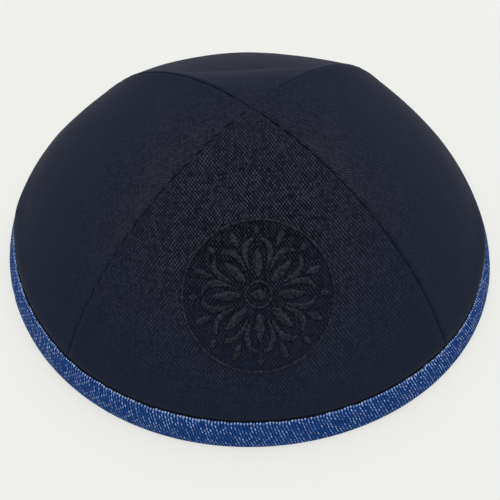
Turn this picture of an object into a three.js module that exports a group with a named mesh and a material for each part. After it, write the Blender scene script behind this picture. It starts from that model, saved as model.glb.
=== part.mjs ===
// A four-panel kippah: a shallow round skullcap of linen, with denim tape folded over its rim.
// Millimetres, +Z up. The origin is the middle of the circle that the rim stands on, and the
// front panel faces -Y. Angles are in degrees round +Z, from the front and turning towards +X.
import * as THREE from 'three';
import { mergeVertices } from 'three/addons/utils/BufferGeometryUtils.js';

// The whole cap
const RIM_RADIUS = 85;        // on average, to the outside of the binding, where the cap stands
const CROWN_HEIGHT = 59.4;    // to the outside of the cloth, where the seams cross
const CROWN_SHIFT = { x: 1.0, y: -0.8 };    // how far the crossing lies from the rim's middle
const GAP = 0.3;              // between two pieces that are sewn together

// Cloth and tape
const CLOTH = 1.2;            // one panel's wall
const TAPE = 1.0;             // one leg of the folded tape
const TAPE_OUTSIDE = 10.8;    // height of the tape's outer leg
const TAPE_INSIDE = 10.2;     // height of its inner leg
const TAPE_ROUNDING = 0.8;    // radius of the fold that the cap stands on
const TAPE_PROUD = 0.3;       // how far the tape stands out from the dome, which it is pressed into
const RELEASE = 3.6;          // above the tape, how far up the cloth takes to fill out again

// The dome's outline is r = R (1 - (z / H) ^ rise) ^ (1 / roundness). A seam runs up its own
// outline, and so does the middle of each panel, which lies flatter than the seams beside it.
const SEAMS = [
  { name: 'front_right', angle: 47.3, rise: 1.55, roundness: 2.06 },
  { name: 'back_right', angle: 139.2, rise: 1.62, roundness: 2.04 },
  { name: 'back_left', angle: 226.0, rise: 1.40, roundness: 2.16 },
  { name: 'front_left', angle: 317.6, rise: 1.71, roundness: 2.06 },
];
const PANELS = [
  { name: 'panel_front', rise: 1.87, roundness: 1.33 },
  { name: 'panel_right', rise: 1.68, roundness: 1.32 },
  { name: 'panel_back', rise: 1.80, roundness: 1.36 },
  { name: 'panel_left', rise: 1.87, roundness: 1.19 },
];

// The soft rim isn't quite round. Each wave widens it by a share of its radius, and fades upwards.
const RIM_WAVES = [
  { count: 2, share: 0.0106, widest: 65.4 },
  { count: 4, share: 0.0041, widest: -30.5 },
];

// How finely the curves are cut into flat faces
const STEPS_ACROSS = 16;      // across one panel
const STEPS_UP = 16;          // from the rim to the crown
const STEPS_RELEASED = 3;     // where the cloth fills out above the tape

const LINEN = { color: 0x171a22, roughness: 0.9, metalness: 0 };
const DENIM = { color: 0x24478a, roughness: 0.85, metalness: 0 };

const DOME_RADIUS = RIM_RADIUS - TAPE_PROUD;
const PINCH = TAPE + GAP - TAPE_PROUD;      // how far the tape presses the cloth in

function radians(degrees) {
  return THREE.MathUtils.degToRad(degrees);
}

function outlineRadius(line, height, offset) {
  const share = Math.min(height / (CROWN_HEIGHT + offset), 1);
  return (DOME_RADIUS + offset) * (1 - share ** line.rise) ** (1 / line.roundness);
}

// The two seams beside a panel, with the angle of the first one kept below that of the second.
function seamsBeside(panel) {
  const index = PANELS.indexOf(panel);
  const next = SEAMS[index];
  const before = SEAMS[(index + SEAMS.length - 1) % SEAMS.length];
  const turn = before.angle > next.angle ? 360 : 0;
  return [{ ...before, angle: before.angle - turn }, next];
}

// Distance from the cap's middle to a panel's surface, at an angle and a height. A level section
// through the panel is an arc from seam to seam, or a straight line close to the crown. The offset
// is 0 on the outside of the cloth, and the same dome a little smaller or larger elsewhere.
function panelRadius(panel, angle, height, offset) {
  return archRadius(panel, angle, height, offset) * rimWave(angle, height);
}

function rimWave(angle, height) {
  const fade = 1 - Math.min(height / CROWN_HEIGHT, 1);
  const waves = RIM_WAVES.map((w) => w.share * Math.cos(radians(w.count * (angle - w.widest))));
  return 1 + fade * waves.reduce((sum, wave) => sum + wave, 0);
}

function archRadius(panel, angle, height, offset) {
  const [first, second] = seamsBeside(panel);
  const middle = (first.angle + second.angle) / 2;
  const half = radians((second.angle - first.angle) / 2);
  const away = radians(angle - middle);
  const left = outlineRadius(first, height, offset);
  const right = outlineRadius(second, height, offset);
  const seam = THREE.MathUtils.lerp(left, right, (away / half + 1) / 2);
  const chord = seam * Math.cos(half);
  const bow = outlineRadius(panel, height, offset) - chord;
  if (bow < chord * 0.002) return chord / Math.cos(away);
  const halfWidth = seam * Math.sin(half);
  const arc = (bow ** 2 + halfWidth ** 2) / (2 * bow);
  const centre = chord + bow - arc;
  const along = centre * Math.cos(away);
  return along + Math.sqrt(along ** 2 - centre ** 2 + arc ** 2);
}

function pointOn(angle, radius, height) {
  const a = radians(angle);
  const up = height / CROWN_HEIGHT;
  return [
    radius * Math.sin(a) + CROWN_SHIFT.x * up,
    -radius * Math.cos(a) + CROWN_SHIFT.y * up,
    height,
  ];
}

// A mesh from rings of points, each joined to the next. A closed set runs back to its first ring.
// On an open one the second half of a ring lies opposite the first half, and closes the ends.
function meshFromRings(name, rings, closed, finish) {
  const size = rings[0].length;
  const faces = [];
  const last = closed ? rings.length : rings.length - 1;
  for (let ring = 0; ring < last; ring += 1) {
    const here = ring * size;
    const next = ((ring + 1) % rings.length) * size;
    for (let i = 0; i < size; i += 1) {
      const j = (i + 1) % size;
      faces.push([here + i, here + j, next + j], [here + i, next + j, next + i]);
    }
  }
  if (!closed) {
    const end = (rings.length - 1) * size;
    for (let i = 0; i < size / 2 - 1; i += 1) {
      const opposite = size - 1 - i;
      faces.push([i, opposite, i + 1], [i + 1, opposite, opposite - 1]);
      faces.push([end + i, end + i + 1, end + opposite]);
      faces.push([end + i + 1, end + opposite - 1, end + opposite]);
    }
  }
  const loose = new THREE.BufferGeometry();
  loose.setAttribute('position', new THREE.Float32BufferAttribute(rings.flat(2), 3));
  loose.setIndex(faces.flat());
  const geometry = mergeVertices(loose, 1e-4);
  geometry.setIndex(withoutSlivers([...geometry.index.array]));
  geometry.computeVertexNormals();
  const mesh = new THREE.Mesh(geometry, new THREE.MeshStandardMaterial(finish));
  mesh.name = name;
  return mesh;
}

// Leaves out the triangles that have two corners in one place, where a row narrows to a point.
function withoutSlivers(index) {
  const kept = [];
  for (let i = 0; i < index.length; i += 3) {
    const [a, b, c] = index.slice(i, i + 3);
    if (a !== b && b !== c && c !== a) kept.push(a, b, c);
  }
  return kept;
}

// Where the rows of a panel lie, as heights on the outside of the cloth: the foot inside the fold,
// the tape's edge, a few rows where the cloth fills out, and then rows evenly up the curve.
function rowHeights(line) {
  const foot = TAPE + GAP;
  const heights = [foot, (foot + TAPE_OUTSIDE) / 2, TAPE_OUTSIDE];
  for (let step = 1; step <= STEPS_RELEASED; step += 1) {
    heights.push(TAPE_OUTSIDE + (RELEASE * step) / STEPS_RELEASED);
  }
  const released = TAPE_OUTSIDE + RELEASE * 1.3;
  for (let step = 1; step <= STEPS_UP; step += 1) {
    const narrowing = Math.cos((step / STEPS_UP) * (Math.PI / 2));
    const share = step < STEPS_UP ? (1 - narrowing ** line.roundness) ** (1 / line.rise) : 1;
    if (share * CROWN_HEIGHT > released) heights.push(share * CROWN_HEIGHT);
  }
  return heights;
}

// One gore: a wall of cloth from the fold of the tape up to the crown. Its two long edges stand
// half a gap back from the seams, and they meet in a point beside the crown.
function makePanel(panel) {
  const [first, second] = seamsBeside(panel);
  const tip = GAP / Math.SQRT2;

  function row(outerHeight, wall) {
    const share = outerHeight / CROWN_HEIGHT;
    const height = outerHeight - wall * share;
    const released = THREE.MathUtils.smoothstep(outerHeight, TAPE_OUTSIDE, TAPE_OUTSIDE + RELEASE);
    const offset = -PINCH * (1 - released) - wall;
    const seam = Math.max(outlineRadius(first, height, offset), tip);
    const inset = THREE.MathUtils.radToDeg(Math.asin(GAP / 2 / seam));
    const points = [];
    for (let i = 0; i <= STEPS_ACROSS; i += 1) {
      const angle = THREE.MathUtils.lerp(first.angle + inset, second.angle - inset, i / STEPS_ACROSS);
      const radius = share < 1 ? panelRadius(panel, angle, height, offset) : tip;
      points.push(pointOn(share < 1 ? angle : (first.angle + second.angle) / 2, radius, height));
    }
    return points;
  }

  const rings = rowHeights(first).map((height) => [
    ...row(height, 0),
    ...row(height, CLOTH).reverse(),
  ]);
  return meshFromRings(panel.name, rings, false, LINEN);
}

// The denim tape: a narrow U that holds the lower edge of the panels between its two legs. The
// section runs from the outside of the flat fold inwards, up the inner leg, and back.
function makeBinding() {
  const outside = TAPE_PROUD;
  const outerBack = outside - TAPE;
  const innerBack = -PINCH - CLOTH - GAP;
  const inside = innerBack - TAPE;
  const fold = TAPE_ROUNDING;
  const edge = TAPE / 2;
  const section = [
    { offset: outside - fold, height: 0 },
    { offset: inside + fold, height: 0 },
    { offset: inside + fold * 0.3, height: fold * 0.3 },
    { offset: inside, height: fold },
    { offset: inside, height: TAPE_INSIDE / 2 },
    { offset: inside, height: TAPE_INSIDE - edge },
    { offset: inside + edge, height: TAPE_INSIDE },
    { offset: innerBack, height: TAPE_INSIDE - edge },
    { offset: innerBack, height: TAPE_INSIDE / 2 },
    { offset: innerBack, height: TAPE },
    { offset: outerBack, height: TAPE },
    { offset: outerBack, height: TAPE_OUTSIDE / 2 },
    { offset: outerBack, height: TAPE_OUTSIDE - edge },
    { offset: outside - edge, height: TAPE_OUTSIDE },
    { offset: outside, height: TAPE_OUTSIDE - edge },
    { offset: outside, height: TAPE_OUTSIDE / 2 },
    { offset: outside, height: fold },
    { offset: outside - fold * 0.3, height: fold * 0.3 },
  ];
  const rings = [];
  for (const panel of PANELS) {
    const [first, second] = seamsBeside(panel);
    for (let i = 0; i < STEPS_ACROSS; i += 1) {
      const angle = THREE.MathUtils.lerp(first.angle, second.angle, i / STEPS_ACROSS);
      const place = ({ offset, height }) => (
        pointOn(angle, panelRadius(panel, angle, height, offset), height)
      );
      rings.push(section.map(place));
    }
  }
  return meshFromRings('rim_binding', rings, true, DENIM);
}

const kippah = new THREE.Group();
for (const panel of PANELS) kippah.add(makePanel(panel));
kippah.add(makeBinding());

export default kippah;
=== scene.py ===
import math

import bpy
import numpy as np
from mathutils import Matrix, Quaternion, Vector, noise
from mathutils.bvhtree import BVHTree


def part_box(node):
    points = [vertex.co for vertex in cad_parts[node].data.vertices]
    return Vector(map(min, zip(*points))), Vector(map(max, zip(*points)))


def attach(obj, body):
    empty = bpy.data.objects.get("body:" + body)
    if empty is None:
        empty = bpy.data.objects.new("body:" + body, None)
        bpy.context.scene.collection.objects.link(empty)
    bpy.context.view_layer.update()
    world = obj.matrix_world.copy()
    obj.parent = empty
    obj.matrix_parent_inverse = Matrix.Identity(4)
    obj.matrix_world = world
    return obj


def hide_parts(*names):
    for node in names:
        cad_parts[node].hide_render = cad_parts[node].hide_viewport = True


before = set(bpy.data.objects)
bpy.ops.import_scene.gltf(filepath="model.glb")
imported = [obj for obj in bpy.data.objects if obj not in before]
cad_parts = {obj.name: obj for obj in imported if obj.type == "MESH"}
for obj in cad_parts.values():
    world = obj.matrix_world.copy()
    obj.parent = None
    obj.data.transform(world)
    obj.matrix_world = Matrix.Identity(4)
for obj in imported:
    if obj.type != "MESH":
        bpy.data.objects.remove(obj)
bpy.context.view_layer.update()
bpy.ops.object.select_all(action="DESELECT")

# Linen panels
# Four gores of dark navy linen make the dome. Each is cut with its threads running up the middle and
# sewn to its neighbours edge to edge, with the seam allowances pressed flat inside. The stitching of
# the tape pinches the lower edge in, and just above it the cloth fills out again.
MM = 0.001
DOME_RADIUS = 84.7            # of the full dome where it meets the table, without its waves
CROWN_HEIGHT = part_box("panel_front")[1][2] / MM
CROWN_SHIFT = (1.0, -0.8)     # from the rim's middle to the crown
PANEL_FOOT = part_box("panel_front")[0][2] / MM
TAPE_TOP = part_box("rim_binding")[1][2] / MM
FLATTEST_BOW = 0.002          # the least bow across a gore, as a share of the chord under it
# each seam's angle, rise and roundness, and how deep it is drawn in
SEAM_LINES = [(47.3, 1.55, 2.06, 0.85), (139.2, 1.62, 2.04, 0.35), (226.0, 1.40, 2.16, 0.95),
              (317.6, 1.71, 2.06, 0.65)]
# each gore's rise and roundness up its middle
GORES = [("front", 1.87, 1.33), ("right", 1.68, 1.32), ("back", 1.80, 1.36), ("left", 1.87, 1.19)]
# waves that make the soft rim uneven: how many, their share of the radius, and where one is widest
RIM_WAVES = [(2, 0.0106, 65.4), (4, 0.0041, -30.5)]
# where the cloth overhangs the tape: its angle, its reach to the front and to the back, and how far
OVERHANGS = [(82, 19, 8, 1.0), (-89, 11, 8, 0.8)]
# where the tape's upper edge runs higher or lower: its angle, its reach, and by how much
TAPE_DRIFTS = [(57, 12, -0.9), (-50, 22, 0.4)]
# the tape presses the cloth in. Across the tape's edge it fills out again, and then stands proud
PINCH = 1.0
RELEASE_START = -0.6
RELEASE = 2.6
PROUD = 0.22
PROUD_PLACE = 4.2
PROUD_REACH = 2.6
OVERHANG_PLACE = 3.0
OVERHANG_REACH = 3.2
# a seam is a groove with a roll of cloth along both sides, and its stitches pucker the cloth
SEAM_GROOVE_WIDTH = 0.42
SEAM_ROLL = 0.12
SEAM_ROLL_PLACE = 2.2
SEAM_ROLL_WIDTH = 1.6
SEAM_MARGIN = 0.8             # the relief stops this close to the seam
PUCKER = 0.05
PUCKER_REACH = 3.5
PUCKER_LENGTH = 6.3
# swells in the handled cloth: how high, how broad, and which part of the noise gives them
SWELLS = [(0.45, 34, (3.1, 0.4, 7.7)), (0.10, 11, (9.2, 5.5, 1.3))]
SWELL_MARGIN = 9              # the swells fade this close to the seam
NARROW_TIP = 12               # the relief fades where half of the gore is narrower than this
FREE_HEIGHT = 6               # the relief comes in over this height above the tape
# the walls of the cloth and of the seam allowances under it, and the size it is cut to in metres
CLOTH_WALL = 0.8
SEAM_WALL = 1.4
SEAM_ALLOWANCE = 6.0
# how finely the cloth is divided. Its columns crowd towards the seams. A share of its rows lies close
# together at the foot, and the others are spaced along a curve up to the crown
PANEL_COLUMNS = 112
PANEL_ROWS = 116
COLUMN_CROWDING = 1.5
CLOSE_ROWS = 0.2
CURVE_START = 0.22
CURVE_RISE = 1.6
CURVE_ROUNDNESS = 2.05


def outline_radius(rise, roundness, height, offset):
    share = np.clip(height / (CROWN_HEIGHT + offset), 0, 1)
    return (DOME_RADIUS + offset) * (1 - share ** rise) ** (1 / roundness)


def gore_angles(gore):
    """The angles of a gore's two seams, from the front and turning towards +X."""
    first = SEAM_LINES[gore - 1][0]
    second = SEAM_LINES[gore][0]
    return (first - 360, second) if first > second else (first, second)


def dome_points(gore, away, height, offset=0.0):
    """Points on a gore in millimetres. away runs from -1 to 1 between its seams."""
    first, second = gore_angles(gore)
    half = math.radians(second - first) / 2
    turned = away * half
    left = outline_radius(*SEAM_LINES[gore - 1][1:3], height, offset)
    right = outline_radius(*SEAM_LINES[gore][1:3], height, offset)
    seam = left + (right - left) * (away + 1) / 2
    chord = seam * math.cos(half)
    middle = outline_radius(*GORES[gore][1:], height, offset)
    bow = np.maximum(middle - chord, chord * FLATTEST_BOW + 1e-6)
    arc = (bow ** 2 + (seam * math.sin(half)) ** 2) / (2 * bow)
    centre = chord + bow - arc
    along = centre * np.cos(turned)
    radius = along + np.sqrt(np.maximum(along ** 2 - centre ** 2 + arc ** 2, 0))
    angle = math.radians((first + second) / 2) + turned
    up = np.clip(height / CROWN_HEIGHT, 0, 1)
    for count, share, widest in RIM_WAVES:
        radius = radius * (1 + (1 - up) * share * np.cos(count * (angle - math.radians(widest))))
    x = radius * np.sin(angle) + CROWN_SHIFT[0] * up
    y = -radius * np.cos(angle) + CROWN_SHIFT[1] * up
    return np.stack([x, y, height + 0 * radius], 1)


def front_middle(height):
    """The point at a height on the middle of the front gore, in millimetres."""
    return dome_points(0, np.zeros(1), np.array([height]))[0]


def smooth_step(value, low, high):
    share = np.clip((value - low) / (high - low), 0, 1)
    return share ** 2 * (3 - 2 * share)


def hump(value, middle, reach):
    """A bell curve: 1 at the middle, 0.37 at the reach, and next to nothing at twice the reach."""
    return np.exp(-((value - middle) / reach) ** 2)


def curve_height(share):
    """The height at a share of the way along the curve from the table to the crown."""
    narrowing = np.cos(share * math.pi / 2)
    return CROWN_HEIGHT * (1 - narrowing ** CURVE_ROUNDNESS) ** (1 / CURVE_RISE)


def row_height(up):
    """Height of a row of the cloth, for rows from 0 to 1. The lowest ones lie closest together."""
    up = np.clip(up, 0, 1)
    share = CURVE_START + (up - CLOSE_ROWS) / (1 - CLOSE_ROWS) * (1 - CURVE_START)
    low = PANEL_FOOT + (curve_height(CURVE_START) - PANEL_FOOT) * up / CLOSE_ROWS
    return np.where(up < CLOSE_ROWS, low, curve_height(np.clip(share, CURVE_START, 1)))


def from_front(angle):
    """The same angle, counted from -180 to 180 degrees with the front at 0."""
    return (angle + 180) % 360 - 180


def overhang(angle):
    """How far the cloth stands out over the tape, by the angle round the rim."""
    total = 0
    for middle, forward, backward, depth in OVERHANGS:
        behind = (from_front(angle) - middle) * math.copysign(1, middle)
        total = total + depth * hump(behind, 0, np.where(behind > 0, backward, forward))
    return total


def tape_top(angle):
    """Height of the tape's upper edge, by the angle round the rim."""
    turned = from_front(angle)
    return TAPE_TOP + sum(rise * hump(turned, middle, reach) for middle, reach, rise in TAPE_DRIFTS)


def tuck(gore, away, height):
    """How far the cloth lies from the full dome: pressed in by the tape, and a little proud above."""
    first, second = gore_angles(gore)
    angle = first + (away + 1) / 2 * (second - first)
    above = height - tape_top(angle)
    released = smooth_step(above, RELEASE_START, RELEASE_START + RELEASE)
    proud = PROUD * hump(above, PROUD_PLACE, PROUD_REACH)
    bulge = overhang(angle) * hump(above, OVERHANG_PLACE, OVERHANG_REACH)
    return PINCH * (released - 1) + proud + bulge * released


def cloth_normals(gore, away, up):
    """Which way the dome faces at each point, found from points a small step away."""
    step = 0.004
    up = np.clip(up, step, 1 - 2 * step)
    height, lower, higher = row_height(up), row_height(up - step), row_height(up + step)
    across = dome_points(gore, away + step, height) - dome_points(gore, away - step, height)
    upward = dome_points(gore, away, higher) - dome_points(gore, away, lower)
    normal = np.cross(across, upward)
    return normal / np.linalg.norm(normal, axis=1)[:, None]


def ripple(point):
    """The soft unevenness of cloth that has been folded and handled, in millimetres."""
    place = Vector(point)
    return sum(high * noise.noise(place / broad + Vector(seed)) for high, broad, seed in SWELLS)


def make_gore(gore):
    bpy.ops.mesh.primitive_grid_add(x_subdivisions=PANEL_COLUMNS, y_subdivisions=PANEL_ROWS, size=2)
    panel = bpy.context.active_object
    panel.name = "linen_" + GORES[gore][0]
    mesh = panel.data
    spots = np.array([v.co[:2] for v in mesh.vertices])
    away = np.sign(spots[:, 0]) * (1 - (1 - np.abs(spots[:, 0])) ** COLUMN_CROWDING)
    up = (spots[:, 1] + 1) / 2
    height = row_height(up)
    points = dome_points(gore, away, height, tuck(gore, away, height))

    # the way along the threads in millimetres: across from the gore's middle, and up from its foot
    rows, columns = PANEL_ROWS + 1, PANEL_COLUMNS + 1
    grid = points.reshape(rows, columns, 3)
    steps = np.linalg.norm(np.diff(grid, axis=1), axis=2)
    run = np.concatenate([np.zeros((rows, 1)), np.cumsum(steps, axis=1)], axis=1)
    width = run[:, -1][:, None]
    grain_across = run - run[:, columns // 2][:, None]
    climb = np.linalg.norm(np.diff(grid[:, columns // 2], axis=0), axis=1)
    grain_up = np.concatenate([[0], np.cumsum(climb)])[:, None] + 0 * grain_across
    to_seam = np.minimum(run, width - run).ravel()
    fade = (np.clip(width / 2 / NARROW_TIP, 0, 1) * np.ones_like(run)).ravel()

    # the relief lifts the cloth off the dome, everywhere but under the tape and in the groove
    free = smooth_step(height, TAPE_TOP, TAPE_TOP + FREE_HEIGHT)
    roll = hump(to_seam, SEAM_ROLL_PLACE, SEAM_ROLL_WIDTH) * fade
    pucker_turn = grain_up.ravel() * 2 * math.pi / PUCKER_LENGTH
    pucker = np.exp(-to_seam / PUCKER_REACH) * np.sin(pucker_turn) * PUCKER
    waves = np.array([ripple(p) for p in points])
    waves = waves * (1 - hump(to_seam, 0, SWELL_MARGIN)) * (0.3 + 0.7 * fade)
    lift = free * (SEAM_ROLL * roll + pucker + waves) * (1 - hump(to_seam, 0, SEAM_MARGIN))

    # the groove sinks towards the cap's middle, so that the edges of both gores stay together
    depth = np.where(away < 0, SEAM_LINES[gore - 1][3], SEAM_LINES[gore][3])
    groove = hump(to_seam, 0, SEAM_GROOVE_WIDTH) * (0.6 + 0.4 * fade)
    sink = depth * groove * (0.3 + 0.7 * free)
    inward = -points / np.linalg.norm(points, axis=1)[:, None]
    points = points + cloth_normals(gore, away, up) * lift[:, None] + inward * sink[:, None]
    mesh.vertices.foreach_set("co", (points * MM).ravel())

    grain = np.stack([grain_across.ravel(), grain_up.ravel()], 1)
    corner_vertex = np.empty(len(mesh.loops), dtype=np.int32)
    mesh.loops.foreach_get("vertex_index", corner_vertex)
    uv = mesh.uv_layers.active
    uv.name = "grain"
    uv.data.foreach_set("uv", grain[corner_vertex].ravel())

    # the wall is thicker where a seam allowance lies under the cloth
    folded = panel.vertex_groups.new(name="seam_allowance")
    for index in np.nonzero(to_seam < SEAM_ALLOWANCE)[0]:
        folded.add([int(index)], 1.0, "REPLACE")
    bpy.ops.object.mode_set(mode="EDIT")
    bpy.ops.mesh.select_all(action="SELECT")
    bpy.ops.mesh.remove_doubles(threshold=1e-5)
    bpy.ops.object.mode_set(mode="OBJECT")
    wall = panel.modifiers.new("wall", "SOLIDIFY")
    wall.thickness = SEAM_WALL * MM
    wall.offset = -1
    wall.vertex_group = "seam_allowance"
    wall.thickness_vertex_group = CLOTH_WALL / SEAM_WALL
    bpy.ops.object.modifier_apply(modifier="wall")
    bpy.ops.object.shade_smooth_by_angle(angle=math.radians(40))
    panel.select_set(False)
    return panel


def linear(hex_colour):
    """An sRGB hex colour as the linear colour that Blender's sockets hold."""
    channels = [int(hex_colour[i:i + 2], 16) / 255 for i in (1, 3, 5)]
    return [c / 12.92 if c <= 0.04045 else ((c + 0.055) / 1.055) ** 2.4 for c in channels] + [1]


def add_node(tree, kind, inputs=None, output=0, **settings):
    """Adds a node, sets it up, fills or links its inputs, and returns one of its outputs."""
    node = tree.nodes.new(kind)
    for name, value in settings.items():
        setattr(node, name, value)
    in_use = [socket for socket in node.inputs if socket.enabled]
    by_name = {socket.name: socket for socket in reversed(in_use)}
    for key, value in (inputs or {}).items():
        socket = in_use[key] if isinstance(key, int) else by_name[key]
        if isinstance(value, bpy.types.NodeSocket):
            tree.links.new(value, socket)
        else:
            socket.default_value = value
    outputs = [socket for socket in node.outputs if socket.enabled]
    return next((s for i, s in enumerate(outputs) if output in (i, s.name)), None)


def new_material(name):
    material = bpy.data.materials.new(name)
    material.use_nodes = True
    material.node_tree.nodes.clear()
    return material, material.node_tree


# Linen yarn is thick and thin by turns, which gives each yarn a tone of its own. Over it the plain weave
# is painted as a checker of pale and dark spots in broken rows: a painted highlight on the crown of each
# float and painted shade in the gaps between the floats. It is matt, with a faint bluish sheen of loose
# fibre where it is seen edge on. Handling has rubbed the weave smooth towards the rim, and a few specks
# of lint have caught in it.
WARP_SPACING = 0.51
WEFT_SPACING = 0.72
YARN_CHANGE = 0.16            # how quickly a yarn turns from thick to thin, per millimetre
# the weave is crisp this close to a place high on the front of the cap, and rubbed smooth far from it
WEAVE_CENTRE = (0, -36 * MM, 46 * MM)
CRISP_WITHIN = 15 * MM
SMOOTH_BEYOND = 60 * MM
MEDALLION_RADIUS = 22.1
MEDALLION_HEIGHT = 38.0


def make_linen():
    material, tree = new_material("navy_linen")

    # the threads wander by less than a millimetre, and are then counted across and up the gore
    grain = add_node(tree, "ShaderNodeUVMap", uv_map="grain")
    drift = add_node(tree, "ShaderNodeTexNoise", {"Vector": grain, "Scale": 0.09, "Detail": 2.0},
                     "Color")
    drift = add_node(tree, "ShaderNodeVectorMath", {0: drift, 1: (0.5, 0.5, 0.5)},
                     operation="SUBTRACT")
    woven = add_node(tree, "ShaderNodeVectorMath", {0: drift, 1: (1.6, 1.6, 0), 2: grain},
                     operation="MULTIPLY_ADD")
    count = add_node(tree, "ShaderNodeVectorMath",
                     {0: woven, 1: (1 / WARP_SPACING, 1 / WEFT_SPACING, 1)}, operation="MULTIPLY")
    warp, weft = add_node(tree, "ShaderNodeSeparateXYZ", {0: count}).node.outputs[:2]
    grain_xy = add_node(tree, "ShaderNodeSeparateXYZ", {0: grain}).node.outputs
    thread = add_node(tree, "ShaderNodeVectorMath", {0: count}, operation="FLOOR")
    thread_xy = add_node(tree, "ShaderNodeSeparateXYZ", {0: thread}).node.outputs

    # the checker of floats shapes the bump, and also paints a highlight on each crown and shade in each
    # gap
    checker = 0.5
    for operation, strength in (("ADD", 0.36), ("SUBTRACT", -0.24)):
        turn = add_node(tree, "ShaderNodeMath", {0: warp, 1: weft}, operation=operation)
        turn = add_node(tree, "ShaderNodeMath", {0: turn, 1: math.pi}, operation="MULTIPLY")
        turn = add_node(tree, "ShaderNodeMath", {0: turn}, operation="COSINE")
        checker = add_node(tree, "ShaderNodeMath", {0: turn, 1: strength, 2: checker},
                           operation="MULTIPLY_ADD")

    # each warp and weft yarn has a tone of its own that changes along it, and each float has another
    tones = []
    for axis, other, seed in ((0, 1, 3.7), (1, 0, 61.3)):
        own = add_node(tree, "ShaderNodeMath", {0: thread_xy[axis], 1: 7.31, 2: seed},
                       operation="MULTIPLY_ADD")
        along = add_node(tree, "ShaderNodeMath", {0: grain_xy[other], 1: YARN_CHANGE},
                         operation="MULTIPLY")
        place = add_node(tree, "ShaderNodeCombineXYZ", {0: own, 1: along})
        tones.append(add_node(tree, "ShaderNodeTexNoise",
                              {"Vector": place, "Scale": 1.0, "Detail": 2.0, "Roughness": 0.6}))
    tone = add_node(tree, "ShaderNodeMath", {0: tones[0], 1: tones[1]}, operation="ADD")
    tone = add_node(tree, "ShaderNodeMapRange",
                    {"Value": tone, "From Min": 0.72, "From Max": 1.28, "To Min": 0.4, "To Max": 1.25})
    fleck = add_node(tree, "ShaderNodeTexWhiteNoise", {"Vector": thread}, noise_dimensions="2D")
    fleck = add_node(tree, "ShaderNodeMapRange",
                     {"Value": fleck, "From Min": 0.0, "From Max": 1.0, "To Min": 0.4, "To Max": 1.55})
    tone = add_node(tree, "ShaderNodeMath", {0: tone, 1: fleck}, operation="MULTIPLY")
    # light is the painted highlight on the crowns of the floats, scaled by each yarn's own tone
    light = add_node(tree, "ShaderNodeMath", {0: checker, 1: 1.5}, operation="POWER")
    light = add_node(tree, "ShaderNodeMath", {0: light, 1: tone}, operation="MULTIPLY", use_clamp=True)

    # painted shade: inside the medallion's ring the weave's pale crowns are dimmed, standing in for the
    # shade that the dense stitches cast on the cloth they draw down
    place = add_node(tree, "ShaderNodeTexCoord", output="Object")
    middle = front_middle(MEDALLION_HEIGHT) * MM
    stitch_shade = add_node(tree, "ShaderNodeVectorMath", {0: place, 1: middle}, operation="DISTANCE")
    stitch_shade = add_node(tree, "ShaderNodeMapRange",
                     {"Value": stitch_shade, "From Min": (MEDALLION_RADIUS - 1.2) * MM,
                      "From Max": MEDALLION_RADIUS * MM, "To Min": 0.6, "To Max": 1.0})
    light = add_node(tree, "ShaderNodeMath", {0: light, 1: stitch_shade}, operation="MULTIPLY")

    # where the weave is rubbed smooth, the dye shows as one even navy
    rubbed = add_node(tree, "ShaderNodeVectorMath", {0: place, 1: WEAVE_CENTRE}, operation="DISTANCE")
    crisp = add_node(tree, "ShaderNodeMapRange",
                     {"Value": rubbed, "From Min": CRISP_WITHIN, "From Max": SMOOTH_BEYOND,
                      "To Min": 1.0, "To Max": 0.14})
    dye = add_node(tree, "ShaderNodeTexNoise", {"Vector": grain, "Scale": 0.045, "Detail": 1.0})
    # shade is the painted shade in the gaps of the weave, and the pale colour below is the painted
    # highlight on its crowns
    shade = add_node(tree, "ShaderNodeMix",
                     {"Factor": dye, "A": linear("#05070d"), "B": linear("#06060a")}, data_type="RGBA")
    weave = add_node(tree, "ShaderNodeMix",
                     {"Factor": light, "A": shade, "B": linear("#3a3b49")}, data_type="RGBA")
    smooth = add_node(tree, "ShaderNodeMix",
                      {"Factor": dye, "A": linear("#1a2331"), "B": linear("#1d2130")}, data_type="RGBA")
    colour = add_node(tree, "ShaderNodeMix",
                      {"Factor": crisp, "A": smooth, "B": weave}, data_type="RGBA")

    # a speck of lint in about one in four of the cloth's 10 mm squares
    spots = add_node(tree, "ShaderNodeTexVoronoi", {"Vector": grain, "Scale": 0.1}, "Distance")
    chance = add_node(tree, "ShaderNodeSeparateXYZ", {0: spots.node.outputs["Color"]})
    chosen = add_node(tree, "ShaderNodeMath", {0: chance, 1: 0.72}, operation="GREATER_THAN")
    lint = add_node(tree, "ShaderNodeMapRange",
                    {"Value": spots, "From Min": 0.045, "From Max": 0.02, "To Max": 0.55})
    lint = add_node(tree, "ShaderNodeMath", {0: lint, 1: chosen}, operation="MULTIPLY")
    colour = add_node(tree, "ShaderNodeMix",
                      {"Factor": lint, "A": colour, "B": linear("#565c6c")}, data_type="RGBA")

    fuzz = add_node(tree, "ShaderNodeTexNoise", {"Vector": grain, "Scale": 6.0, "Detail": 3.0})
    relief = add_node(tree, "ShaderNodeMath", {0: fuzz, 1: 0.25, 2: checker}, operation="MULTIPLY_ADD")
    relief = add_node(tree, "ShaderNodeMath", {0: relief, 1: crisp}, operation="MULTIPLY")
    bump = add_node(tree, "ShaderNodeBump", {"Height": relief, "Strength": 0.7, "Distance": 0.12 * MM})
    surface = add_node(tree, "ShaderNodeBsdfPrincipled",
                       {"Base Color": colour, "Roughness": 0.85, "Specular IOR Level": 0.02,
                        "Sheen Weight": 0.085, "Sheen Roughness": 0.36,
                        "Sheen Tint": linear("#e0dce8"), "Normal": bump})
    add_node(tree, "ShaderNodeOutputMaterial", {"Surface": surface})
    return material


linen = make_linen()
panels = []
for gore in range(len(GORES)):
    panel = make_gore(gore)
    panel.data.materials.append(linen)
    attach(panel, "root")
    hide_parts("panel_" + GORES[gore][0])
    panels.append(panel)

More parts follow.
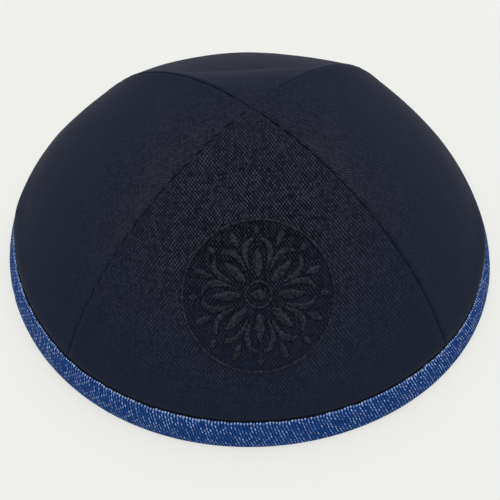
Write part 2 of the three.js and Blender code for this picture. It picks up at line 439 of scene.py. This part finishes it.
# Embroidered medallion
# A ring round a rosette, worked by machine on the front gore in black rayon thread. It is satin
# stitch: each thread crosses its stroke from edge to edge, over a padding that raises the stroke.
RING_WIDTH = 0.85
HUB_RADIUS = 3.7
HUB_WIDTH = 0.9
HUB_PATCH = 3.6               # across the solid round patch inside the hub
STITCH_SPACING = 0.6
THREAD_WIDTH = 0.72
THREAD_RISE = 0.2
PADDING = 0.2                 # how far a stroke is raised, and how much more for each mm of width
PADDING_GROWTH = 0.11
END_DIP = 0.12                # how deep a stitch's two ends dip into the cloth
STITCH_DRIFT = 0.05           # how far a stitch strays from its row
LENGTH_DRIFT = (-0.06, 0.10)
STITCH_CUTS = (-0.86, -0.55, 0, 0.55, 0.86)    # where a stitch bends, as shares of half its length
REPEATS = 8
# each stroke's start, middle and end as radius and angle, its widths there, and whether it has a twin
STROKES = {
    "petal": ((5.4, 0), (9.2, 0), (13.2, 0), (1.0, 3.2, 0.6), False),
    "scroll": ((7.6, 18.5), (13.6, 15.5), (16.0, 3.5), (0.7, 2.1, 0.8), True),
    "drop": ((14.6, 22.5), (17.0, 22.5), (19.3, 22.5), (0.5, 2.4, 1.3), False),
    "bud": ((17.6, 0), (18.6, 0), (19.8, 0), (0.8, 1.9, 0.7), False),
}


def bend_through(start, middle, end, share):
    """A point on the parabola that runs from start through middle to end."""
    control = 2 * middle - (start + end) / 2
    return start * (1 - share) ** 2 + control * 2 * share * (1 - share) + end * share ** 2


def stitches_along(points, widths):
    """A row for each stitch of a stroke: its middle, the way it crosses the stroke, and its length."""
    points = np.array(points)
    steps = np.linalg.norm(np.diff(points, axis=0), axis=1)
    run = np.concatenate([[0], np.cumsum(steps)])
    places = np.linspace(0, run[-1], max(round(run[-1] / STITCH_SPACING), 2) + 1)
    places = (places[:-1] + places[1:]) / 2
    step = 0.05
    behind, middle, ahead = [
        np.stack([np.interp(places + shift, run, points[:, i]) for i in (0, 1)], 1)
        for shift in (-step, 0, step)
    ]
    along = (ahead - behind) / np.linalg.norm(ahead - behind, axis=1)[:, None]
    across = np.stack([along[:, 1], -along[:, 0]], 1)
    return np.column_stack([middle, across, np.interp(places, run, widths)])


def medallion_stitches():
    share = np.linspace(0, 1, 40)
    rows = []
    for radius, width in ((MEDALLION_RADIUS - RING_WIDTH / 2, RING_WIDTH), (HUB_RADIUS, HUB_WIDTH)):
        turn = share * 2 * math.pi
        circle = radius * np.stack([np.cos(turn), np.sin(turn)], 1)
        rows.append(stitches_along(circle, np.full(len(share), width)))
    patch = np.stack([share * HUB_PATCH - HUB_PATCH / 2, 0 * share], 1)
    rows.append(stitches_along(patch, HUB_PATCH * np.sqrt(np.maximum(1 - (2 * share - 1) ** 2, 0.04))))
    for repeat in range(REPEATS):
        for start, middle, end, widths, has_twin in STROKES.values():
            for twin in (False, True)[:1 + has_twin]:
                places = []
                for radius, angle in (start, middle, end):
                    angle = 360 / REPEATS - angle if twin else angle
                    turn = math.radians(90 + angle + repeat * 360 / REPEATS)
                    places.append(radius * np.array([math.cos(turn), math.sin(turn)]))
                points = [bend_through(*places, s) for s in share]
                rows.append(stitches_along(points, [bend_through(*widths, s) for s in share]))
    return np.concatenate(rows)


def make_medallion(cloth):
    bpy.ops.mesh.primitive_cylinder_add(vertices=6, radius=1, depth=2, rotation=(0, math.pi / 2, 0))
    stitch = bpy.context.active_object
    stitch.name = "embroidery"
    bpy.ops.object.transform_apply(rotation=True)
    bpy.ops.object.mode_set(mode="EDIT")
    for cut in STITCH_CUTS:
        bpy.ops.mesh.select_all(action="SELECT")
        bpy.ops.mesh.bisect(plane_co=(cut, 0, 0), plane_no=(1, 0, 0))
    bpy.ops.object.mode_set(mode="OBJECT")
    shape = np.array([v.co for v in stitch.data.vertices])
    faces = [list(p.vertices) for p in stitch.data.polygons]

    # every stitch in the plane of the medallion, with the height that its padding gives it
    rows = medallion_stitches()
    random = np.random.default_rng(11)
    middle, across, width = rows[:, :2], rows[:, 2:4], rows[:, 4]
    middle = middle + random.uniform(-STITCH_DRIFT, STITCH_DRIFT, middle.shape)
    half = width / 2 + random.uniform(*LENGTH_DRIFT, len(rows))
    along = np.stack([-across[:, 1], across[:, 0]], 1)
    arch = (PADDING + PADDING_GROWTH * width)[:, None] * (1 - np.abs(shape[:, 0]) ** 3)
    flat = (middle[:, None] + across[:, None] * (half[:, None] * shape[:, 0])[..., None]
            + along[:, None] * (shape[:, 1] * THREAD_WIDTH / 2)[:, None])
    lift = arch + shape[:, 2] * THREAD_RISE - END_DIP * np.abs(shape[:, 0]) ** 6

    # that plane faces out of the front gore, and every point is dropped from it onto the cloth
    place = Vector(front_middle(MEDALLION_HEIGHT))
    rise = 0.5
    up = front_middle(MEDALLION_HEIGHT + rise) - front_middle(MEDALLION_HEIGHT - rise)
    up = Vector(up).normalized()
    turn = math.radians(sum(gore_angles(0)) / 2)
    side = Vector((math.cos(turn), math.sin(turn), 0))
    out = side.cross(up)
    clear = 20
    tree = BVHTree.FromPolygons([v.co / MM for v in cloth.data.vertices],
                                [list(p.vertices) for p in cloth.data.polygons])
    points = []
    for (x, y), high in zip(flat.reshape(-1, 2), lift.ravel()):
        hit, normal = tree.ray_cast(place + side * x + up * y + out * clear, -out)[:2]
        points.append((hit + normal * high) * MM)
    count = len(shape)
    copies = [[v + count * i for v in face] for i in range(len(rows)) for face in faces]
    mesh = bpy.data.meshes.new("embroidery")
    mesh.from_pydata(points, [], copies)
    stitch.data = mesh
    bpy.ops.object.shade_smooth_by_angle(angle=math.radians(70))
    stitch.select_set(False)
    return stitch


# Rayon thread is black with a soft gloss, so a stroke brightens where its stitches turn
# towards the light, and its edges stay dark.
def make_thread():
    material, tree = new_material("black_rayon_thread")
    place = add_node(tree, "ShaderNodeTexCoord", output="Object")
    tint = add_node(tree, "ShaderNodeTexNoise", {"Vector": place, "Scale": 1300.0, "Detail": 3.0})
    tint = add_node(tree, "ShaderNodeMapRange", {"Value": tint, "From Min": 0.42, "From Max": 0.66})
    colour = add_node(tree, "ShaderNodeMix",
                      {"Factor": tint, "A": linear("#050507"), "B": linear("#252936")},
                      data_type="RGBA")
    surface = add_node(tree, "ShaderNodeBsdfPrincipled",
                       {"Base Color": colour, "Roughness": 0.33, "Specular IOR Level": 0.25,
                        "Specular Tint": linear("#ccd2e6")})
    add_node(tree, "ShaderNodeOutputMaterial", {"Surface": surface})
    return material


medallion = make_medallion(panels[0])
medallion.data.materials.append(make_thread())
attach(medallion, "root")

# Rim binding
# A strip of blue denim folded over the cut edge of the linen and stitched through just under its upper
# edge, which presses the cloth in there. Between the stitching and the fold the tape puffs out.
TAPE_STEPS = 480
# the tape's section as offset from the full dome and height, from the outer foot upwards
TAPE_SECTION = [
    (-0.30, 0.0), (0.08, 0.22), (0.32, 0.9), (0.44, 2.2), (0.50, 4.2), (0.49, 6.4), (0.40, 8.4),
    (0.24, 9.8), (-0.02, 10.55), (-0.34, 10.72), (-0.62, 10.4), (-0.70, 9.0), (-0.72, 5.0),
    (-0.72, 2.0), (-0.95, 1.15), (-2.15, 1.15), (-2.45, 2.0), (-2.47, 5.0), (-2.49, 8.4),
    (-2.60, 9.6), (-2.92, 10.1), (-3.24, 9.7), (-3.42, 8.0), (-3.48, 5.0), (-3.48, 2.5),
    (-3.40, 1.0), (-3.10, 0.25), (-2.60, 0.0),
]
# the flat fold that the cap stands on: its offset at the outer foot, its width, and how high it is
# taken to reach. Whatever lies further in than the middle of the section belongs to the inner leg
FOLD_START = 0.3
FOLD_WIDTH = 2.8
FOLD_HEIGHT = 0.26
SECTION_MIDDLE = -1.5
# unevenness round the rim: how far, how dense, and which part of the noise gives it
EDGE_WAVES = [(0.3, 22, 2.0), (0.2, 70, 8.0)]
PUFF_WAVES = (0.12, 30, 5.0)
HALF_TAPE = 5                 # the upper edge's unevenness fades out at this height
# past the first of these angles from the front the tape puffs out less, and past the second it is flat
FLATTER_FROM = 70
FLAT_FROM = 95


def tape_surface(angle, height, offset):
    """Moves points that were spun round the rim onto the four gores' true outline."""
    out = np.zeros((len(angle), 3))
    for gore in range(len(GORES)):
        first, second = gore_angles(gore)
        turn = (angle - first) % 360
        inside = turn <= second - first
        away = 2 * turn[inside] / (second - first) - 1
        out[inside] = dome_points(gore, away, height[inside], offset[inside])
    return out


def rim_noise(ring, far, dense, seed):
    """Noise that runs round the rim and meets itself, at points of a circle with radius 1."""
    return np.array([noise.noise(Vector((c * dense, s * dense, seed))) for c, s in ring]) * far


def make_binding():
    bpy.ops.mesh.primitive_circle_add(vertices=len(TAPE_SECTION), radius=1)
    tape = bpy.context.active_object
    tape.name = "denim_binding"
    for vertex, (offset, height) in zip(tape.data.vertices, TAPE_SECTION):
        vertex.co = (0, -(DOME_RADIUS + offset) * MM, height * MM)
    bpy.ops.object.mode_set(mode="EDIT")
    bpy.ops.mesh.select_all(action="SELECT")
    bpy.ops.mesh.spin(steps=TAPE_STEPS, angle=2 * math.pi, center=(0, 0, 0), axis=(0, 0, 1),
                      use_auto_merge=True)
    bpy.ops.mesh.select_all(action="SELECT")
    bpy.ops.mesh.remove_doubles(threshold=1e-6)
    bpy.ops.mesh.normals_make_consistent(inside=False)
    bpy.ops.object.mode_set(mode="OBJECT")
    round_off = tape.modifiers.new("round_off", "SUBSURF")
    round_off.levels = 1
    round_off.render_levels = 1
    bpy.ops.object.modifier_apply(modifier="round_off")

    # the upper edge wavers, and the outer leg puffs out unevenly
    mesh = tape.data
    points = np.empty(len(mesh.vertices) * 3)
    mesh.vertices.foreach_get("co", points)
    points = points.reshape(-1, 3) / MM
    angle = np.degrees(np.arctan2(points[:, 0], -points[:, 1])) % 360
    offset = np.hypot(points[:, 0], points[:, 1]) - DOME_RADIUS
    height = points[:, 2]
    turn = np.radians(angle)
    ring = np.stack([np.cos(turn), np.sin(turn)], 1)
    edge = tape_top(angle) - TAPE_TOP
    for wave in EDGE_WAVES:
        edge += rim_noise(ring, *wave)
    puff = rim_noise(ring, *PUFF_WAVES)
    rising = np.clip((height - HALF_TAPE) / HALF_TAPE, 0, 1) ** 2
    height = height + edge * rising
    offset = offset + puff * np.clip(height / 2, 0, 1) * np.clip(offset * 2, 0, 1)
    flat = smooth_step(np.abs(from_front(angle)), FLATTER_FROM, FLAT_FROM)
    offset = offset - np.maximum(offset, 0) * flat
    points = tape_surface(angle, height, offset)
    mesh.vertices.foreach_set("co", (points * MM).ravel())

    # the way round the rim in millimetres. The faces that close the ring run on past a full turn
    around = turn * DOME_RADIUS
    whole = 2 * math.pi * DOME_RADIUS
    corner_vertex = np.empty(len(mesh.loops), dtype=np.int32)
    mesh.loops.foreach_get("vertex_index", corner_vertex)
    run = around[corner_vertex].reshape(-1, 4)
    closing = (run.max(1) - run.min(1) > whole / 2)[:, None]
    run = np.where(closing & (run < whole / 2), run + whole, run)

    # the way along the tape's section: up the outer leg from 0, and back across the fold and up the
    # inner leg below 0. The weave follows the wavering edge
    inward = np.clip(-offset - FOLD_START, 0, FOLD_WIDTH)
    climb = np.where(offset < SECTION_MIDDLE, -FOLD_WIDTH - height, height)
    climb = np.where(height < FOLD_HEIGHT, -inward, climb)
    rise = climb[corner_vertex].reshape(-1, 4)
    edge_run = edge[corner_vertex].reshape(-1, 4)
    rise = rise - edge_run * np.clip(np.abs(rise) / TAPE_TOP, 0, 1)
    uv = mesh.uv_layers.active or mesh.uv_layers.new()
    uv.name = "tape"
    uv.data.foreach_set("uv", np.stack([run, rise], 2).ravel())
    bpy.ops.object.shade_smooth_by_angle(angle=math.radians(60))
    tape.select_set(False)
    return tape


# Denim is a twill: indigo warp floats lie in steep diagonal ribs 1 mm apart, and between them the pale
# weft shows as a row of short dashes. The dashes are bright in some stretches and rubbed dark in others.
# Along the upper edge the weft turns back over the stitching, one bright dot to each rib.
TWILL_SPACING = 0.97
TWILL_LEAN = 0.36             # how far a rib leans to the side for each mm that it rises
DASHES_PER_MM = 0.85
DASH_STAGGER = 0.37           # how far the dashes of one rib lie above those of the next
DOTS_BELOW_EDGE = 0.42


def make_denim():
    material, tree = new_material("indigo_denim")

    # the ribs, numbered round the rim
    place = add_node(tree, "ShaderNodeUVMap", uv_map="tape")
    around, rise = add_node(tree, "ShaderNodeSeparateXYZ", {0: place}).node.outputs[:2]
    ribs = round(2 * math.pi * DOME_RADIUS / TWILL_SPACING)
    per_mm = ribs / (2 * math.pi * DOME_RADIUS)
    lean = add_node(tree, "ShaderNodeMath", {0: rise, 1: TWILL_LEAN, 2: around},
                    operation="MULTIPLY_ADD")
    wobble = add_node(tree, "ShaderNodeTexNoise", {"Vector": place, "Scale": 0.35, "Detail": 2.0})
    lean = add_node(tree, "ShaderNodeMath", {0: wobble, 1: 0.7, 2: lean}, operation="MULTIPLY_ADD")
    rib = add_node(tree, "ShaderNodeMath", {0: lean, 1: per_mm}, operation="MULTIPLY")
    rib_number = add_node(tree, "ShaderNodeMath", {0: rib}, operation="FLOOR")
    rib_within = add_node(tree, "ShaderNodeMath", {0: rib}, operation="FRACT")
    turn = add_node(tree, "ShaderNodeMath", {0: rib_within, 1: math.pi}, operation="MULTIPLY")
    crown = add_node(tree, "ShaderNodeMath", {0: turn}, operation="SINE")

    # the pale dashes of the weft, one in each cell of a rib, and each of its own brightness
    stagger = add_node(tree, "ShaderNodeMath", {0: rib_number, 1: DASH_STAGGER}, operation="MULTIPLY")
    dash_run = add_node(tree, "ShaderNodeMath", {0: rise, 1: DASHES_PER_MM, 2: stagger},
                        operation="MULTIPLY_ADD")
    dash_number = add_node(tree, "ShaderNodeMath", {0: dash_run}, operation="FLOOR")
    dash_within = add_node(tree, "ShaderNodeMath", {0: dash_run}, operation="FRACT")
    cell = add_node(tree, "ShaderNodeCombineXYZ", {0: rib_number, 1: dash_number})
    chance = add_node(tree, "ShaderNodeTexWhiteNoise", {"Vector": cell}, noise_dimensions="2D")
    across = add_node(tree, "ShaderNodeMath", {0: rib_within, 1: 4.6, 2: -2.3},
                      operation="MULTIPLY_ADD")
    lengthwise = add_node(tree, "ShaderNodeMath", {0: dash_within, 1: 2.0, 2: -1.0},
                          operation="MULTIPLY_ADD")
    spot = add_node(tree, "ShaderNodeCombineXYZ", {0: across, 1: lengthwise})
    spot = add_node(tree, "ShaderNodeVectorMath", {0: spot}, operation="LENGTH")
    spot = add_node(tree, "ShaderNodeMapRange", {"Value": spot, "From Min": 0.95, "From Max": 0.5})
    stretch = add_node(tree, "ShaderNodeTexNoise", {"Vector": place, "Scale": 0.16, "Detail": 3.0})
    stretch = add_node(tree, "ShaderNodeMapRange",
                       {"Value": stretch, "From Min": 0.35, "From Max": 0.62,
                        "To Min": 0.5, "To Max": 1.0})
    picked = add_node(tree, "ShaderNodeMapRange",
                      {"Value": chance, "From Min": 0.25, "From Max": 1.0,
                       "To Min": 0.05, "To Max": 1.0})
    fleck = add_node(tree, "ShaderNodeMath", {0: spot, 1: picked}, operation="MULTIPLY")
    fleck = add_node(tree, "ShaderNodeMath", {0: fleck, 1: stretch}, operation="MULTIPLY")

    # the bright dots along the upper edge
    edge_run = add_node(tree, "ShaderNodeMath", {0: around, 1: per_mm}, operation="MULTIPLY")
    edge_number = add_node(tree, "ShaderNodeMath", {0: edge_run}, operation="FLOOR")
    edge_within = add_node(tree, "ShaderNodeMath", {0: edge_run}, operation="FRACT")
    edge_chance = add_node(tree, "ShaderNodeTexWhiteNoise", {"W": edge_number}, noise_dimensions="1D")
    edge_across = add_node(tree, "ShaderNodeMath", {0: edge_within, 1: 0.5}, operation="SUBTRACT")
    edge_up = add_node(tree, "ShaderNodeMath", {0: edge_chance, 1: -0.3, 2: rise},
                       operation="MULTIPLY_ADD")
    edge_up = add_node(tree, "ShaderNodeMath", {0: edge_up, 1: TAPE_TOP - DOTS_BELOW_EDGE},
                       operation="SUBTRACT")
    edge_spot = add_node(tree, "ShaderNodeCombineXYZ", {0: edge_across, 1: edge_up})
    edge_spot = add_node(tree, "ShaderNodeVectorMath", {0: edge_spot}, operation="LENGTH")
    edge_spot = add_node(tree, "ShaderNodeMapRange",
                         {"Value": edge_spot, "From Min": 0.29, "From Max": 0.14})
    edge_bright = add_node(tree, "ShaderNodeMapRange",
                           {"Value": edge_chance, "From Min": 0.05, "From Max": 0.9, "To Min": 0.3})
    edge_row = add_node(tree, "ShaderNodeMath", {0: edge_spot, 1: edge_bright}, operation="MULTIPLY")
    pale = add_node(tree, "ShaderNodeMath", {0: fleck, 1: edge_row}, operation="MAXIMUM")

    # the indigo is worn lighter on the crests of the ribs, more in some places than in others
    wear = add_node(tree, "ShaderNodeTexNoise", {"Vector": place, "Scale": 0.35, "Detail": 2.0})
    wear = add_node(tree, "ShaderNodeMapRange", {"Value": wear, "From Min": 0.35, "From Max": 0.7})
    ridge = add_node(tree, "ShaderNodeMath", {0: crown, 1: 3.0}, operation="POWER")
    ridge = add_node(tree, "ShaderNodeMath", {0: ridge, 1: wear}, operation="MULTIPLY")
    indigo = add_node(tree, "ShaderNodeMix",
                      {"Factor": ridge, "A": linear("#0a326a"), "B": linear("#16498e")},
                      data_type="RGBA")
    colour = add_node(tree, "ShaderNodeMix",
                      {"Factor": pale, "A": indigo, "B": linear("#c2d6ff")}, data_type="RGBA")
    relief = add_node(tree, "ShaderNodeMath", {0: pale, 1: 0.9, 2: crown}, operation="MULTIPLY_ADD")
    bump = add_node(tree, "ShaderNodeBump", {"Height": relief, "Strength": 0.8, "Distance": 0.16 * MM})
    surface = add_node(tree, "ShaderNodeBsdfPrincipled",
                       {"Base Color": colour, "Roughness": 0.8, "Specular IOR Level": 0.03,
                        "Sheen Weight": 0.03, "Sheen Roughness": 0.36,
                        "Sheen Tint": linear("#b8ccf0"), "Normal": bump})
    add_node(tree, "ShaderNodeOutputMaterial", {"Surface": surface})
    return material


binding = make_binding()
binding.data.materials.append(make_denim())
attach(binding, "root")
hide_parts("rim_binding")

# Table top and light
# The cap lies on a sheet of opal acrylic that is lit a little from beneath, under a wide soft light, so
# its shadow is faint and close to the rim.
FLOOR_SIZE = 3.0
LAMP_PLACE = Vector((0.05, 0.12, 1.0))
bpy.ops.mesh.primitive_plane_add(size=FLOOR_SIZE)
floor = bpy.context.active_object
floor.name = "table_top"
opal, tree = new_material("opal_acrylic")
surface = add_node(tree, "ShaderNodeBsdfPrincipled",
                   {"Base Color": linear("#818281"), "Roughness": 0.9, "Specular IOR Level": 0.1,
                    "Emission Color": linear("#fbfbf6"), "Emission Strength": 0.65})
add_node(tree, "ShaderNodeOutputMaterial", {"Surface": surface})
floor.data.materials.append(opal)

world = bpy.data.worlds.new("studio")
world.use_nodes = True
world.node_tree.nodes.clear()
sky = add_node(world.node_tree, "ShaderNodeBackground", {"Color": linear("#ffffff"), "Strength": 0.75})
add_node(world.node_tree, "ShaderNodeOutputWorld", {"Surface": sky})
bpy.context.scene.world = world

bpy.ops.object.light_add(type="AREA", location=LAMP_PLACE)
lamp = bpy.context.active_object
lamp.name = "softbox"
lamp.data.shape = "SQUARE"
lamp.data.size = 1.0
lamp.data.energy = 5.0
lamp.rotation_euler = LAMP_PLACE.to_track_quat("Z", "Y").to_euler()

# Camera
# It looks down at the front of the cap from 28 cm away, which is where the photograph's outline, seams
# and ring all fall into place.
CAMERA_RISE = 51.13
CAMERA_DISTANCE = 280.0
CAMERA_TARGET = Vector((0.53, -8.69, 0))
CAMERA_ROLL = -0.14
FOCAL_PIXELS = 784.2
FRAME_PIXELS = 500
rise = math.radians(CAMERA_RISE)
back = Vector((0, -math.cos(rise), math.sin(rise)))
bpy.ops.object.camera_add(location=(CAMERA_TARGET + back * CAMERA_DISTANCE) * MM)
camera = bpy.context.active_object
camera.name = "camera"
camera.rotation_mode = "QUATERNION"
roll = Quaternion((0, 0, 1), math.radians(CAMERA_ROLL))
camera.rotation_quaternion = (-back).to_track_quat("-Z", "Y") @ roll
camera.data.sensor_width = 36
camera.data.lens = 36 * FOCAL_PIXELS / FRAME_PIXELS
camera.data.clip_start = 0.01
bpy.context.scene.camera = camera
bpy.context.scene.view_settings.view_transform = "Standard"
